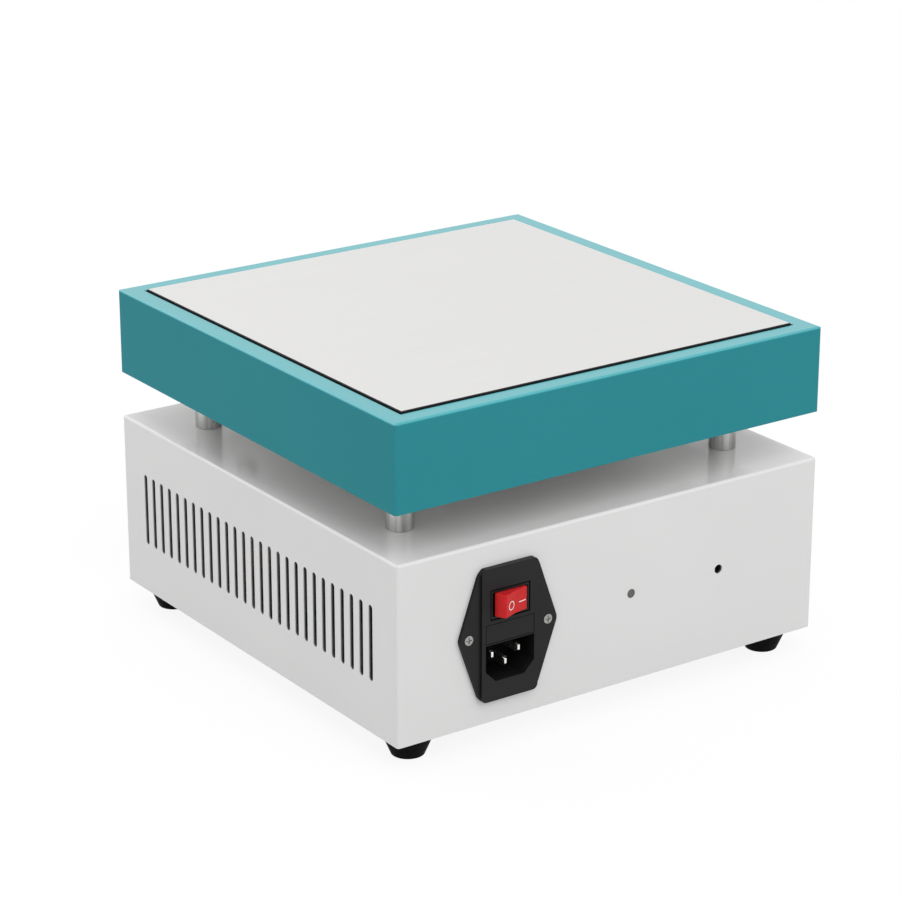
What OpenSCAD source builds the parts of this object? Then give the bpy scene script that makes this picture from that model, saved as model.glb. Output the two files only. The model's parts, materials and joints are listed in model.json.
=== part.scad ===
// Bench hot plate for preheating circuit boards. A folded sheet-metal case holds the mains inlet and the
// controls. An aluminium heating plate sits in a painted head that stands on four pillars above the case.
// Millimetres, +Z up. The origin is on the table under the middle of the case.
// The controls face -Y, and the mains inlet faces +Y.

/* [Case] */
// Width of the case, left to right
case_w = 220.5; // [205:0.5:260]
// Depth of the case, front to rear
case_d = 222; // [205:0.5:260]
// Height of the case walls
case_h = 80; // [74:0.5:110]
// Thickness of the case sheet
case_sheet = 1; // [0.8:0.1:1.5]
// Inside radius of the case bends
case_bend_in = 0.3; // [0.1:0.1:2]
// Width of the flanges turned in at the foot of the side walls
flange_w = 12; // [10:0.5:16]
// Length of the flanges turned in at the foot of the side walls
flange_l = 171; // [160:1:175]

/* [Vents] */
// Number of slots in each side wall
vent_count = 27; // [10:1:27]
// Distance from one slot to the next
vent_pitch = 7.05; // [5:0.05:7.2]
// Width of a slot
vent_w = 2.8; // [2:0.1:3.5]
// Length of a slot, over its round ends
vent_l = 33.5; // [20:0.5:45]
// Height of the slots' middle above the foot of the wall
vent_rise = 40; // [32:0.5:45]

/* [Bottom plate and feet] */
// Thickness of the bottom plate
base_sheet = 1.2; // [1:0.1:2]
// Gap between the bottom plate and the case walls
base_gap = 0.4; // [0.2:0.1:0.8]
// Height of the bottom plate's turned-up lips
base_lip_h = 10; // [6:0.5:14]
// Distance between neighbouring bottom screws on one side
base_screw_pitch = 75; // [60:1:78]
// Height of a foot, which is also the height of the case above the table
foot_h = 11.2; // [9:0.1:16]
// Diameter of a foot where it meets the bottom plate
foot_top_d = 19; // [16:0.5:22]
// Diameter of a foot at the table
foot_tip_d = 13.8; // [12:0.2:16]
// Distance from the case faces to the middle of a foot
foot_inset = 15; // [13:0.5:18]

/* [Pillars] */
// Diameter of a pillar
pillar_d = 12; // [10:0.5:16]
// Clear height between the case and the head
pillar_h = 21; // [16:0.5:40]
// Distance of the pillars from the middle plane, left and right
pillar_x = 85.5; // [80:0.5:90]
// Distance of the pillars from the middle plane, front and rear
pillar_y = 76.5; // [60:0.5:80]

/* [Head] */
// Width of the head, left to right
head_w = 221; // [214:0.5:250]
// Depth of the head, front to rear
head_d = 221; // [214:0.5:250]
// Height of the head's painted cover
head_h = 38.5; // [34:0.5:60]
// Thickness of the cover sheet
head_sheet = 1; // [0.8:0.1:1.4]
// Inside radius of the cover's bends
head_bend_in = 0.3; // [0.1:0.1:2]
// Thickness of the tray that closes the head from below
tray_sheet = 1.2; // [1:0.1:2]
// Height of the tray's turned-up walls
tray_h = 12; // [8:0.5:14]
// Gap between the tray and the cover
tray_gap = 0.3; // [0.2:0.1:0.6]
// Side of the lugs welded into the cover's lower corners
lug_w = 14; // [12:0.5:16]
// Thickness of the corner lugs
lug_t = 2; // [1.5:0.1:3]

/* [Heating plate] */
// Width of the cover's rim round the heating plate
rim_w = 8.6; // [6:0.1:12]
// Thickness of the heating plate
plate_t = 10; // [8:0.5:12]
// Height of the heating plate above the cover's rim
plate_proud = 0.8; // [0.5:0.1:2]
// Gap round the heating plate
plate_gap = 1; // [0.8:0.1:2]
// Chamfer on the heating plate's top edges
plate_edge = 0.3; // [0.2:0.1:1]
// Thickness of the mica heater sheet
heater_t = 1; // [0.8:0.1:2]
// Thickness of the clamp plate under the heater
clamp_t = 2; // [1.5:0.1:3]
// Distance of the heater's edges from the plate's edges
heater_inset = 5; // [3:0.5:10]
// Distance of the plate's screws from the middle planes
spacer_xy = 70; // [60:0.5:72]
// Diameter of the spacer tubes under the heating plate
spacer_d = 10; // [9:0.5:12]
// Depth of the tapped holes in the heating plate
plate_tap_depth = 7; // [5:0.5:7]
// Slack left above the insulation
blanket_gap = 0.3; // [0.2:0.1:1]

/* [Temperature probe and conduit] */
// Diameter of the temperature probe
probe_d = 4; // [3:0.5:5]
// Depth of the probe's pocket in the heating plate
probe_depth = 6; // [4:0.5:6.5]
// Length of the probe below the heating plate
probe_tail = 8; // [6:0.5:12]
// Outside diameter of the conduit between head and case
conduit_d = 16; // [15.5:0.5:20]
// Bore of the conduit
conduit_bore = 13; // [12.5:0.5:14]
// Diameter of the conduit's collars
collar_d = 24; // [22:0.5:28]
// Thickness of the conduit's collars
collar_t = 2; // [1.5:0.1:4]
// Thickness of the conduit's nuts
conduit_nut_t = 4; // [3:0.5:6]
// Diameter of a heater lead
lead_d = 3; // [2:0.1:3]
// Diameter of the probe's lead
probe_lead_d = 2; // [1.5:0.1:2.4]

/* [Mains inlet] */
// Distance from the right side of the case to the middle of the inlet
inlet_inset = 54; // [48:0.25:60]
// Height of the inlet's flange
inlet_h = 59; // [57:0.5:62]
// Width of the inlet's flange at its ears
inlet_w = 49.5; // [48:0.5:54]
// Width of the inlet's raised middle band
band_w = 28.5; // [28.5:0.5:31]
// Rounding of the flange's corners
inlet_round = 5; // [2:0.5:6]
// Thickness of the flange at the ears
ear_t = 1.7; // [1.5:0.1:3]
// Height of the raised band above the ears
band_t = 1; // [0.6:0.1:4]
// Depth of the inlet's body behind the wall
inlet_depth = 22; // [21:0.5:26]
// Distance between the inlet's screws
inlet_pitch = 40; // [39:0.5:42]
// Thread diameter of the inlet's screws
inlet_screw_d = 2.5; // [2.2:0.1:3]
// Depth of the inlet screws' sunk heads
inlet_sink = 0.85; // [0.6:0.05:1]
// Wall of the inlet's body round its openings
inlet_wall = 1.3; // [1.2:0.1:1.5]
// Gap between the inlet's body and the cut-out in the wall
inlet_gap = 0.3; // [0.2:0.1:0.5]

/* [Mains socket] */
// Width of the socket
socket_w = 24.5; // [24:0.1:25]
// Height of the socket
socket_h = 16.6; // [16:0.1:16.8]
// Bevel of the socket's lower corners
socket_bevel = 5; // [4:0.5:6]
// Drop of the socket's middle below the inlet's middle
socket_drop = 12.5; // [12.4:0.1:12.8]
// Depth of the socket from its face to its floor
socket_depth = 17; // [15:0.5:18]
// Thickness of a contact blade
blade_t = 2; // [1.5:0.1:2.2]
// Height of a contact blade
blade_h = 4; // [3:0.1:4.2]
// Distance between the live and neutral blades
blade_pitch = 13.5; // [13:0.5:15]
// Height of the outer blades over the earth blade
blade_step = 4.5; // [3:0.5:5]
// Depth of the blade tips below the socket's face
blade_sunk = 3; // [2.5:0.1:6]
// Length of the tapered tip of a blade
blade_taper = 1.5; // [1:0.1:2.5]
// Length of the connection tabs behind the inlet
tab_l = 8; // [6:0.5:10]
// Thickness of the connection tabs
tab_t = 0.8; // [0.5:0.1:1]

/* [Switch] */
// Width of the switch opening
switch_w = 20; // [19.8:0.1:20.6]
// Height of the switch opening
switch_h = 13.4; // [13.2:0.1:14]
// Height of the switch's middle above the inlet's middle
switch_rise = 13.2; // [13:0.1:13.4]
// Gap round the switch body in its opening
switch_gap = 0.55; // [0.1:0.05:0.6]
// Depth of the switch body from its face
switch_depth = 18; // [14:0.5:20]
// Depth of the switch face below the raised band
switch_sunk = 0.2; // [0:0.1:0.5]
// Wall of the switch body at the ends of the rocker
switch_wall = 0.75; // [0.7:0.05:1.2]
// Wall of the switch body above and below the rocker, which holds its pivots
switch_cheek = 0.9; // [0.9:0.05:1.2]
// Tilt of the rocker to either side
rocker_tilt = 16; // [10:0.5:18]
// Slope of each half of the rocker's top towards its middle, in degrees
rocker_dip = 5.5; // [3:0.5:10]
// Height of the rocker's middle above its pivot
rocker_rise = 3.7; // [3:0.1:4]
// Depth of the rocker's pivot below the switch face
pivot_sunk = 1.2; // [1.1:0.1:2]
// Diameter of the rocker's pivot pins
pivot_d = 1.6; // [1.4:0.1:1.8]
// Length of each pivot pin in its hole
pivot_l = 0.8; // [0.7:0.1:1]
// Room above and below the rocker in the switch body
rocker_gap = 0.25; // [0.2:0.05:0.5]
// Room at the ends of the rocker in the switch body
rocker_end_gap = 0.7; // [0.5:0.05:1.2]

/* [Fuse drawer] */
// Width of the drawer's bay
bay_w = 24.5; // [24:0.1:25]
// Height of the drawer's bay
bay_h = 8.6; // [8.2:0.1:8.8]
// Height of the bay's middle above the inlet's middle
bay_rise = 0.6; // [0.6:0.1:0.8]
// Depth of the bay from the face of the raised band
bay_depth = 22.5; // [22:0.1:23]
// Gap between the drawer and its bay
drawer_gap = 0.2; // [0.1:0.05:0.3]
// Length of the drawer
drawer_l = 21.5; // [20:0.5:21.5]
// Thickness of the drawer's front
drawer_front = 2; // [1.5:0.1:3]
// Diameter of a fuse
fuse_d = 5.2; // [4.8:0.1:5.4]
// Length of a fuse
fuse_l = 20; // [19:0.5:20.5]
// Length of a fuse's end cap
cap_l = 5.5; // [4:0.5:6]
// Wall between the drawer's two fuse pockets
pocket_wall = 1; // [0.8:0.1:1.5]

/* [Control panel] */
// Width of the panel's frame
panel_w = 110; // [108:0.5:120]
// Height of the panel's frame
panel_h = 46; // [44:0.5:52]
// Thickness of the panel's frame
panel_t = 2.5; // [2:0.1:3.5]
// Rounding of the panel's corners
panel_round = 4; // [2:0.5:6]
// Overlap of the panel's frame on the wall
panel_overlap = 3; // [2:0.5:3]
// Depth of the skirt behind the panel
skirt_depth = 6; // [4:0.5:7]
// Wall of the skirt behind the panel
skirt_t = 1.5; // [1.2:0.1:2]
// Distance from the outside of the case wall to the control board
board_sunk = 10; // [10:0.5:14]
// Width of the display window
window_w = 50; // [44:0.5:52]
// Height of the display window
window_h = 22; // [18:0.5:26]
// Thickness of the display window
window_t = 1.5; // [1:0.1:1.8]
// Width of the ledge that carries the display window
window_ledge = 2; // [1:0.1:3]
// Distance of the display's middle from the panel's middle
window_shift = 23; // [22:0.5:24]
// Diameter of a push button
button_d = 9; // [8:0.1:10]
// Height of a button above the panel
button_proud = 2; // [1.5:0.1:3]
// Distance from one button to the next
button_pitch = 15; // [14:0.5:15]
// Distance of the first button from the panel's middle
button_shift = 14; // [13:0.5:15]
// Distance of the buttons below the panel's middle
button_drop = 3; // [2:0.5:4]
// Travel of a button
button_travel = 0.8; // [0.4:0.1:1]
// Running gap round a button
button_gap = 0.08; // [0.05:0.01:0.1]
// Diameter of the indicator lamp
lamp_d = 3; // [2.5:0.1:4]
// Height of the indicator lamp above the panel's middle
lamp_rise = 9; // [8:0.5:11]

/* [Relay] */
// Distance from the left side of the case to the middle of the relay
relay_inset = 77.75; // [70:0.25:80]
// Width of the relay
relay_w = 58; // [57:0.5:60]
// Height of the relay
relay_h = 45; // [40:0.5:48]
// Depth of the relay, with its base
relay_depth = 23; // [20:0.5:26]
// Rounding of the relay's corners
relay_round = 2; // [1:0.5:4]
// Thickness of the relay's metal base
relay_base_t = 3; // [2:0.5:4]
// Distance between the relay's fixing holes
relay_pitch = 47.6; // [47:0.1:48]

/* [Power supply] */
// Gap between the supply board and the flange of the case
supply_margin = 1.75; // [1:0.25:3]
// Place of the supply board, front to rear
supply_y = -30; // [-34:1:-26]
// Width of the supply board
supply_w = 74; // [66:1:74]
// Depth of the supply board
supply_d = 56; // [50:1:60]
// Thickness of the printed boards
board_t = 1.6; // [1:0.1:2]
// Height of the spacers under the supply board
supply_lift = 6; // [5:0.5:10]
// Distance of the supply board's screws from its edges
supply_screw_inset = 5; // [4.5:0.5:8]
// Size of the transformer's core, front to rear
core_d = 34; // [28:0.5:38]
// Height of the transformer's core
core_h = 30; // [26:0.5:32]
// Width of the transformer's core
core_w = 18; // [14:0.5:20]
// Overhang of the transformer's winding at each side of the core
coil_over = 8; // [5:0.5:10]

/* [Screws and fits] */
// Thread diameter of the small screws
small_screw = 3; // [2.5:0.1:3.2]
// Thread diameter of the medium screws
medium_screw = 4; // [3.5:0.1:4.2]
// Thread diameter of the bolts
bolt = 5; // [4.5:0.1:5.2]
// Radial gap between a screw and its tapped hole
thread_gap = 0.05; // [0.02:0.01:0.1]
// Radial gap between a screw and its clearance hole
hole_gap = 0.25; // [0.15:0.05:0.4]

/* [Hidden] */
$fn = 48;
// How far a cut runs past the face that it cuts
over = 1;
// How far a screw's end passes its nut or its tapped hole
screw_end = 1;
// Room between a sunk screw head and its recess, across both sides
head_room = 1;
// Wall and end of a fuse's cap
cap_wall = 0.3;
cap_end = 0.5;
// Radial room round a lead in its terminal, and the gap under a lead that rests on a surface
lead_room = 0.2;
lead_rest = 0.3;

// Heights of the stack
case_z = foot_h;
case_top = case_z + case_h;
case_mid = case_z + case_h / 2;
base_top = case_z + base_sheet;
head_z = case_top + pillar_h;
head_top = head_z + head_h;
tray_top = head_z + tray_sheet;
plate_top = head_top + plate_proud;
plate_z = plate_top - plate_t;
heater_z = plate_z - heater_t;
clamp_z = heater_z - clamp_t;
rear_y = case_d / 2;
front_y = -case_d / 2;
plate_w = head_w - 2 * (rim_w + plate_gap);
plate_d = head_d - 2 * (rim_w + plate_gap);

// Outside radius of the bends
case_bend = case_bend_in + case_sheet;
head_bend = head_bend_in + head_sheet;

// Places on the rear wall
inlet_x = case_w / 2 - inlet_inset;
relay_x = relay_inset - case_w / 2;

// Inside of the case and the bottom plate
inner_w = case_w - 2 * case_sheet;
inner_d = case_d - 2 * case_sheet;
base_w = inner_w - 2 * base_gap;
base_d = inner_d - 2 * base_gap;
base_screw_x = inner_w / 2 - flange_w / 2;
foot_x = case_w / 2 - foot_inset;
foot_y = case_d / 2 - foot_inset;

// Supply board, and the terminal block beside it
supply_x = inner_w / 2 - flange_w - supply_margin - supply_w / 2;
supply_spacer_d = 2 * small_screw;
pole_x = 8;
pole_edge = 2;
pole_h = 18;
pole_room = 22;
terminal_w = 4 * pole_x + 2 * pole_edge;
terminal_gap = 3;
terminal_x = supply_x - supply_w / 2 - terminal_gap - terminal_w / 2;

// Tray, lugs and insulation of the head
tray_w = head_w - 2 * (head_sheet + tray_gap);
tray_d = head_d - 2 * (head_sheet + tray_gap);
lug_x = head_w / 2 - head_sheet - lug_w / 2;
lug_y = head_d / 2 - head_sheet - lug_w / 2;
corner_clear = lug_w + 2 * tray_gap;
blanket_w = tray_w - 2 * (tray_sheet + blanket_gap);
blanket_d = tray_d - 2 * (tray_sheet + blanket_gap);
shaft_room = 2;
shaft_d = collar_d + 2 * shaft_room;

// How far the conduit's threads pass its nuts
conduit_end = 2;

// Places of the leads in the conduit, how far they hang below it, and the room for their bends
lead_x = 3.2;
lead_y = 2.6;
probe_y = -3.2;
lead_drop = 20;
lead_bend = 14;

// Mains inlet, measured from its middle on the outside of the rear wall, with +Y outwards
face_y = ear_t + band_t;
body_w = max(socket_w, bay_w) + 2 * inlet_wall;
body_top = switch_rise + switch_h / 2 + inlet_wall;
body_foot = -socket_drop - socket_h / 2 - inlet_wall;
floor_y = face_y - socket_depth;
outer_blade_z = -socket_drop + blade_step / 2;
earth_blade_z = -socket_drop - blade_step / 2;
blade_end = face_y - blade_sunk;
blade_tip_share = 0.55;

// Switch and rocker
switch_y = face_y - switch_sunk;
pivot_y = switch_y - pivot_sunk;
switch_body_w = switch_w - 2 * switch_gap;
switch_body_h = switch_h - 2 * switch_gap;
well_w = switch_body_w - 2 * switch_wall;
well_h = switch_body_h - 2 * switch_cheek;
rocker_r = well_w / 2 - rocker_end_gap;
rocker_h = well_h - 2 * rocker_gap;
rocker_foot = 3;
rocker_foot_half = 5;
well_depth = pivot_sunk + norm([rocker_foot, rocker_foot_half]) + rocker_gap;

// Fuse drawer
drawer_w = bay_w - 2 * drawer_gap;
drawer_h = bay_h - 2 * drawer_gap;
bay_back = face_y - bay_depth;
fuse_gap = 0.15;
pocket_d = fuse_d + 2 * fuse_gap;
pocket_l = fuse_l + 4 * fuse_gap;
spare_y = face_y - drawer_front - pocket_d / 2;
fuse_y = spare_y - pocket_d - pocket_wall;

// Control panel, measured from its middle on the outside of the front wall, with +Y outwards
panel_z = case_mid;
opening_w = panel_w - 2 * panel_overlap;
opening_h = panel_h - 2 * panel_overlap;
panel_fit = 0.2;
skirt_w = opening_w - 2 * panel_fit;
skirt_h = opening_h - 2 * panel_fit;
boss_d = 6;
boss_gap = 1;
boss_x = skirt_w / 2 - skirt_t - boss_d / 2 - boss_gap;
boss_z = skirt_h / 2 - skirt_t - boss_d / 2 - boss_gap;
board_screw = 2.5;
board_screw_bite = 5;
display_gap = 1.5;
lamp_gap = 0.1;
lamp_rim = 0.5;
flange_t = 1.2;
flange_reach = 1.25;
button_edge = 0.5;
stem_d = 3.5;
stem_rest = 0.7;
tact_w = 6;
tact_h = 3.5;
tact_floor = 1;
stem_l = board_sunk - tact_floor - button_travel - stem_rest - flange_t;

// Proportions of pan-head screws and hexagon nuts
function screw_head_d(d) = 1.9 * d;
function screw_head_h(d) = 0.65 * d;
function nut_flats(d) = 1.8 * d;
function nut_h(d) = 0.8 * d;
function tapped(d) = d + 2 * thread_gap;
function cleared(d) = d + 2 * hole_gap;

// The four places that mirror one corner
function corners(x, y) = [for (sx = [-1, 1], sy = [-1, 1]) [sx * x, sy * y, 0]];

// A route with each of its corners cut, as often as asked
function between(a, b, share) = a + (b - a) * share;
function cut_corners(p) = concat(
    [p[0]],
    [for (i = [0 : len(p) - 2], share = [0.25, 0.75]) between(p[i], p[i + 1], share)],
    [p[len(p) - 1]]
);
function softened(p, times) = times == 0 ? p : softened(cut_corners(p), times - 1);

// Direction of a route at one of its points, and the ring of points round it
function unit(v) = v / norm(v);
function heading(p, i) = unit(p[min(i + 1, len(p) - 1)] - p[max(i - 1, 0)]);
function ring(centre, along, r, sides) =
    let (side = unit(cross([0.3, 0.5, 0.8], along)), up = cross(along, side))
    [for (k = [0 : sides - 1]) centre + r * (cos(k * 360 / sides) * side + sin(k * 360 / sides) * up)];

module at(places) {
    for (place = places)
        translate(place) children();
}

// A lead swept along its route
module lead(route, d) {
    sides = 8;
    path = softened(route, 2);
    last = len(path) - 1;
    points = [for (i = [0 : last]) each ring(path[i], heading(path, i), d / 2, sides)];
    walls = [
        for (i = [0 : last - 1], k = [0 : sides - 1])
        let (a = i * sides, b = a + sides, next = (k + 1) % sides)
        each [[a + k, b + k, b + next], [a + k, b + next, a + next]]
    ];
    start_cap = [for (k = [0 : sides - 1]) k];
    end_cap = [for (k = [0 : sides - 1]) last * sides + sides - 1 - k];
    polyhedron(points, concat([start_cap, end_cap], walls));
}

module rounded_rect(w, h, r) {
    square([w - 2 * r, h], center = true);
    square([w, h - 2 * r], center = true);
    for (sx = [-1, 1], sy = [-1, 1])
        translate([sx * (w / 2 - r), sy * (h / 2 - r)]) circle(r);
}

// A wall profile that stands on the axis, with its two upper corners rounded
module arch(w, h, r) {
    translate([-w / 2, 0]) square([w, h - r]);
    translate([r - w / 2, 0]) square([w - 2 * r, h]);
    for (sx = [-1, 1])
        translate([sx * (w / 2 - r), h - r]) circle(r);
}

// A box on the ground plane with all its upper and upright edges rounded
module bent_box(w, d, h, r) {
    intersection() {
        linear_extrude(h) rounded_rect(w, d, r);
        slab_y(-d / 2, d / 2) arch(w, h, r);
        rotate(90) slab_y(-w / 2, w / 2) arch(d, h, r);
    }
}

// A drawing in the upright XZ plane, drawn out along Y
module slab_y(y0, y1) {
    translate([0, y1, 0]) rotate([90, 0, 0]) linear_extrude(y1 - y0) children();
}

module rod_y(y0, y1, d) {
    translate([0, y0, 0]) rotate([-90, 0, 0]) cylinder(h = y1 - y0, d = d);
}

module block(x, y, z) {
    translate([-x / 2, -y / 2, 0]) cube([x, y, z]);
}

module washer(h, outer, inner) {
    difference() {
        cylinder(h = h, d = outer);
        translate([0, 0, -over]) cylinder(h = h + 2 * over, d = inner);
    }
}

// A pan-head screw that points up, with the underside of its head on the ground plane
module screw(d, length) {
    head_d = screw_head_d(d);
    head_h = screw_head_h(d);
    cross_t = d / 4;
    difference() {
        union() {
            translate([0, 0, -head_h]) cylinder(h = head_h, d = head_d);
            translate([0, 0, -head_h / 2]) cylinder(h = length + head_h / 2, d = d);
        }
        for (turn = [0, 90])
            rotate(turn) translate([0, 0, -head_h - over]) block(d, cross_t, over + head_h / 2);
    }
}

module nut(d) {
    difference() {
        cylinder(h = nut_h(d), d = nut_flats(d) / cos(30), $fn = 6);
        translate([0, 0, -over]) cylinder(h = nut_h(d) + 2 * over, d = tapped(d));
    }
}

// Places of the repeated pieces
base_screw_places = [for (sx = [-1, 1], row = [-1 : 1]) [sx * base_screw_x, row * base_screw_pitch, 0]];
foot_places = corners(foot_x, foot_y);
pillar_places = corners(pillar_x, pillar_y);
lug_places = corners(lug_x, lug_y);
spacer_places = corners(spacer_xy, spacer_xy);
supply_corners = corners(supply_w / 2 - supply_screw_inset, supply_d / 2 - supply_screw_inset);
supply_places = [for (p = supply_corners) p + [supply_x, supply_y, 0]];
boss_places = [for (sx = [-1, 1], sz = [-1, 1]) [sx * boss_x, 0, sz * boss_z]];
button_places = [for (i = [0 : 2]) [-button_shift - i * button_pitch, 0, -button_drop]];
relay_places = [for (sx = [-1, 1]) [relay_x + sx * relay_pitch / 2, 0, case_mid]];

module at_inlet() {
    translate([inlet_x, rear_y, case_mid]) children();
}

module at_panel() {
    translate([0, front_y, panel_z]) rotate(180) children();
}

// Case

module vent_slot() {
    straight = vent_l - vent_w;
    square([vent_w, straight], center = true);
    for (end = [-1, 1])
        translate([0, end * straight / 2]) circle(d = vent_w);
}

module vent_rows() {
    translate([0, 0, case_z + vent_rise])
        rotate(90) slab_y(-case_w / 2 - over, case_w / 2 + over)
            for (i = [0 : vent_count - 1])
                translate([(i - (vent_count - 1) / 2) * vent_pitch, 0]) vent_slot();
}

module inlet_cutout() {
    slab_y(-case_sheet - over, over)
        translate([-body_w / 2 - inlet_gap, body_foot - inlet_gap])
            square([body_w + 2 * inlet_gap, body_top - body_foot + 2 * inlet_gap]);
    for (side = [-1, 1])
        translate([side * inlet_pitch / 2, 0, 0]) rod_y(-case_sheet - over, over, cleared(inlet_screw_d));
}

module case_walls() {
    difference() {
        translate([0, 0, case_z]) bent_box(case_w, case_d, case_h, case_bend);
        translate([0, 0, case_z - over])
            bent_box(inner_w, inner_d, case_h - case_sheet + over, case_bend_in);
    }
    for (sx = [-1, 1])
        translate([sx * (inner_w / 2 - flange_w / 2 + case_sheet / 4), 0, base_top])
            block(flange_w + case_sheet / 2, flange_l, case_sheet);
}

module case_shell() {
    color("whitesmoke") difference() {
        case_walls();
        vent_rows();
        at_inlet() inlet_cutout();
        at_panel() slab_y(-case_sheet - over, over) rounded_rect(opening_w, opening_h, panel_round / 2);
        at(relay_places) rod_y(rear_y - case_sheet - over, rear_y + over, tapped(medium_screw));
        at(pillar_places) translate([0, 0, case_top - case_sheet - over])
            cylinder(h = case_sheet + 2 * over, d = cleared(bolt));
        translate([0, 0, case_top - case_sheet - over])
            cylinder(h = case_sheet + 2 * over, d = cleared(conduit_d));
        at(base_screw_places) translate([0, 0, base_top - over])
            cylinder(h = case_sheet + 2 * over, d = tapped(small_screw));
    }
}

module bottom_plate() {
    lip_l = base_w - 2 * foot_inset;
    color("gainsboro") difference() {
        union() {
            translate([0, 0, case_z]) linear_extrude(base_sheet) rounded_rect(base_w, base_d, case_bend);
            for (sy = [-1, 1])
                translate([0, sy * (base_d - base_sheet) / 2, case_z])
                    block(lip_l, base_sheet, base_lip_h);
        }
        at(base_screw_places) translate([0, 0, case_z - over])
            cylinder(h = base_sheet + 2 * over, d = cleared(small_screw));
        at(concat(foot_places, [earth_place])) translate([0, 0, case_z - over])
            cylinder(h = base_sheet + 2 * over, d = cleared(medium_screw));
        at(supply_places) translate([0, 0, case_z - over])
            cylinder(h = base_sheet + 2 * over, d = cleared(small_screw));
    }
}

module base_screws() {
    color("silver") at(base_screw_places)
        translate([0, 0, case_z]) screw(small_screw, base_sheet + case_sheet + screw_end);
}

// Feet

foot_recess_d = screw_head_d(medium_screw) + head_room;
foot_recess_h = 5;
foot_edge = 1;

module foot() {
    rotate_extrude() polygon([
        [cleared(medium_screw) / 2, foot_recess_h],
        [foot_recess_d / 2, foot_recess_h],
        [foot_recess_d / 2, 0],
        [foot_tip_d / 2 - foot_edge, 0],
        [foot_tip_d / 2, foot_edge],
        [foot_top_d / 2, foot_h],
        [cleared(medium_screw) / 2, foot_h]
    ]);
}

module feet() {
    color("black") at(foot_places) foot();
}

module foot_screws() {
    grip = foot_h - foot_recess_h + base_sheet;
    color("silver") at(foot_places)
        translate([0, 0, foot_recess_h]) screw(medium_screw, grip + nut_h(medium_screw) + screw_end);
}

module foot_nuts() {
    color("silver") at(foot_places) translate([0, 0, base_top]) nut(medium_screw);
}

// Pillars

pillar_grip = 8;

module pillars() {
    color("darkgray") at(pillar_places)
        translate([0, 0, case_top]) washer(pillar_h, pillar_d, tapped(bolt));
}

module pillar_bolts() {
    color("dimgray") at(pillar_places) {
        translate([0, 0, case_top - case_sheet]) screw(bolt, case_sheet + pillar_grip);
        translate([0, 0, tray_top]) mirror([0, 0, 1]) screw(bolt, tray_sheet + pillar_grip);
    }
}

// Head

module head_lugs() {
    at(lug_places) translate([0, 0, tray_top])
        block(lug_w + head_sheet, lug_w + head_sheet, lug_t);
}

module head_cover() {
    color("darkcyan") difference() {
        union() {
            difference() {
                translate([0, 0, head_z]) bent_box(head_w, head_d, head_h, head_bend);
                translate([0, 0, head_z - over])
                    bent_box(head_w - 2 * head_sheet, head_d - 2 * head_sheet,
                        head_h - head_sheet + over, head_bend_in);
            }
            intersection() {
                head_lugs();
                translate([0, 0, head_z]) bent_box(head_w, head_d, head_h, head_bend);
            }
        }
        translate([0, 0, head_top - head_sheet - over])
            block(plate_w + 2 * plate_gap, plate_d + 2 * plate_gap, head_sheet + 2 * over);
        at(lug_places) translate([0, 0, tray_top - over])
            cylinder(h = lug_t + 2 * over, d = tapped(small_screw));
    }
}

module head_tray() {
    color("lightgray") difference() {
        translate([0, 0, head_z]) linear_extrude(tray_h) rounded_rect(tray_w, tray_d, head_bend);
        translate([0, 0, tray_top])
            block(tray_w - 2 * tray_sheet, tray_d - 2 * tray_sheet, tray_h);
        at(corners(tray_w / 2, tray_d / 2)) translate([0, 0, tray_top])
            block(2 * corner_clear, 2 * corner_clear, tray_h);
        at(lug_places) translate([0, 0, head_z - over])
            cylinder(h = tray_sheet + 2 * over, d = cleared(small_screw));
        at(concat(pillar_places, spacer_places)) translate([0, 0, head_z - over])
            cylinder(h = tray_sheet + 2 * over, d = cleared(bolt));
        translate([0, 0, head_z - over])
            cylinder(h = tray_sheet + 2 * over, d = cleared(conduit_d));
    }
}

module tray_screws() {
    color("silver") at(lug_places)
        translate([0, 0, head_z]) screw(small_screw, tray_sheet + lug_t + screw_end);
}

// Heating plate

module heating_plate() {
    color("gainsboro") difference() {
        intersection() {
            translate([0, 0, plate_z]) block(plate_w, plate_d, plate_t);
            slab_y(-plate_d / 2, plate_d / 2) plate_profile(plate_w);
            rotate(90) slab_y(-plate_w / 2, plate_w / 2) plate_profile(plate_d);
        }
        at(spacer_places) translate([0, 0, plate_z - over])
            cylinder(h = plate_tap_depth + over, d = tapped(bolt));
        translate([0, probe_y, plate_z - over])
            cylinder(h = probe_depth + over, d = tapped(probe_d));
    }
}

module plate_profile(w) {
    polygon([
        [-w / 2, plate_z],
        [-w / 2, plate_top - plate_edge],
        [plate_edge - w / 2, plate_top],
        [w / 2 - plate_edge, plate_top],
        [w / 2, plate_top - plate_edge],
        [w / 2, plate_z]
    ]);
}

module under_plate(z, t) {
    difference() {
        translate([0, 0, z])
            block(plate_w - 2 * heater_inset, plate_d - 2 * heater_inset, t);
        at(spacer_places) translate([0, 0, z - over])
            cylinder(h = t + 2 * over, d = cleared(bolt));
        translate([0, probe_y, z - over])
            cylinder(h = t + 2 * over, d = 2 * probe_d);
    }
}

module heater_sheet() {
    color("burlywood") under_plate(heater_z, heater_t);
}

module clamp_plate() {
    color("gray") difference() {
        under_plate(clamp_z, clamp_t);
        translate([0, 0, clamp_z - over]) cylinder(h = clamp_t + 2 * over, d = conduit_d);
    }
}

module plate_spacers() {
    color("silver") at(spacer_places)
        translate([0, 0, tray_top]) washer(clamp_z - tray_top, spacer_d, cleared(bolt));
}

module plate_screws() {
    color("silver") at(spacer_places)
        translate([0, 0, head_z]) screw(bolt, plate_z - head_z + plate_tap_depth - screw_end);
}

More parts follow.
